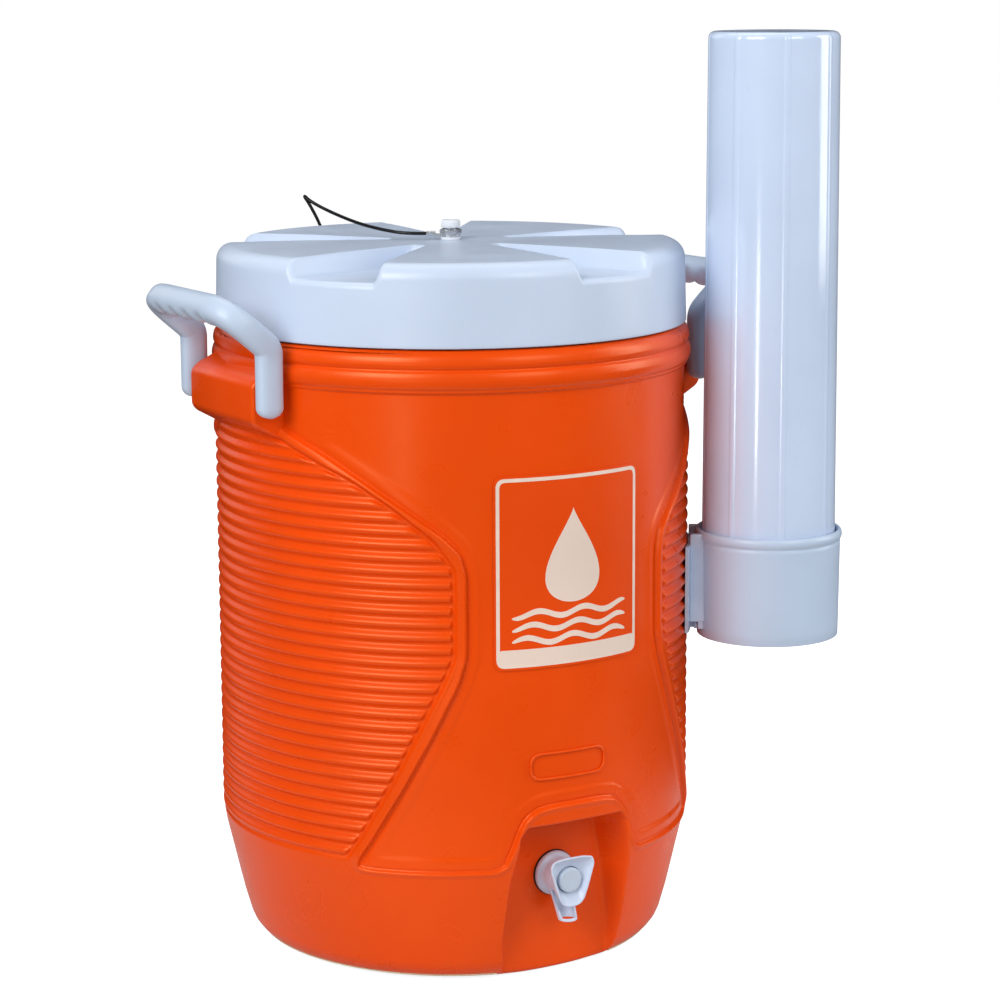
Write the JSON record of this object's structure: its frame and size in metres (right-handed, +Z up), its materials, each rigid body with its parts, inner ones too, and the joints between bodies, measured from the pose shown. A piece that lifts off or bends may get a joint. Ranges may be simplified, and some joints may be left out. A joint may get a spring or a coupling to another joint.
{
  "type": "beverage dispenser",
  "caption": "Round insulated drinking-water cooler with a ribbed body, screw lid on a wire tether, swing handles, push-button tap and a cup tube hung beside it.",
  "frame": {"origin": "centre of the base, on the axis of the round body, at the surface it stands on", "axes": "+Z up along the body's axis; the tap faces -Y; the cup tube hangs on the +X side"},
  "size_m": [0.439, 0.3431, 0.618],
  "materials": {
    "orange_plastic": "satin",
    "lid_plastic": "satin",
    "handle_plastic": "satin",
    "tank_plastic": "satin",
    "tap_plastic": "satin",
    "dispenser_plastic": "gloss",
    "knob_plastic": "satin",
    "label_vinyl": "satin",
    "foam": "matte",
    "black_rubber": "matte",
    "white_rubber": "matte",
    "cable_jacket": "gloss",
    "plated_steel": "polished",
    "spring_steel": "satin"
  },
  "bodies": {
    "cooler": {"outer_shell": "orange_plastic", "base_plug": "orange_plastic", "inner_tank": "tank_plastic", "wall_foam": "foam", "front_label": "label_vinyl", "tap_gasket": "black_rubber", "tap_body": "tap_plastic", "tap_inner_seal": "black_rubber", "tap_nut": "tap_plastic", "tap_retainer": "tap_plastic", "tap_spring": "spring_steel", "back_crimp": "plated_steel", "anchor_pad": "orange_plastic", "anchor_screw": "plated_steel", "wall_plate": "dispenser_plastic", "wall_plate_screws": "plated_steel", "cup_collar": "dispenser_plastic", "collar_diaphragm": "white_rubber"},
    "tether_swivel": {"swivel_ring": "plated_steel", "front_crimp": "plated_steel", "tether_cable": "cable_jacket"},
    "lid": {"lid_shell": "lid_plastic", "lid_foam": "foam", "lid_liner": "tank_plastic", "lid_gasket": "white_rubber", "lid_stud": "plated_steel", "lid_washer": "lid_plastic", "lid_nut": "plated_steel", "lid_under_nut": "plated_steel", "lid_knob": "knob_plastic"},
    "tap_plunger": {"tap_button": "tap_plastic", "tap_stem": "tap_plastic", "tap_valve": "black_rubber"},
    "handle_left": {"left_handle": "handle_plastic"},
    "handle_right": {"right_handle": "handle_plastic"},
    "cup_sleeve": {"cup_tube": "dispenser_plastic"}
  },
  "joints": [
    {"name": "lid_lift", "type": "slide", "parent": "cooler", "child": "tether_swivel", "axis": [0, 0, 1], "range_m": [0, 0.0905]},
    {"name": "lid_turn", "type": "hinge", "parent": "tether_swivel", "child": "lid", "pos_m": [0, 0, 0.425], "axis": [0, 0, 1], "range_deg": [0, 1080]},
    {"name": "left_handle_swing", "type": "hinge", "parent": "cooler", "child": "handle_left", "pos_m": [-0.167, 0, 0.386], "axis": [0, -1, 0], "range_deg": [0, 140]},
    {"name": "right_handle_swing", "type": "hinge", "parent": "cooler", "child": "handle_right", "pos_m": [0.167, 0, 0.386], "axis": [0, 1, 0], "range_deg": [0, 140]},
    {"name": "tap_press", "type": "slide", "parent": "cooler", "child": "tap_plunger", "axis": [0, 1, 0], "range_m": [0, 0.0045], "stiffness_N_per_m": 900, "springref_m": -0.003, "deforming": ["tap_spring"]},
    {"name": "cup_tube_lift", "type": "slide", "parent": "cooler", "child": "cup_sleeve", "axis": [0, 0, 1], "range_m": [0, 0.075]}
  ],
  "couplings": [
    {"joint": "lid_lift", "follows": "lid_turn", "m_per_rad": 0.0047746}
  ]
}
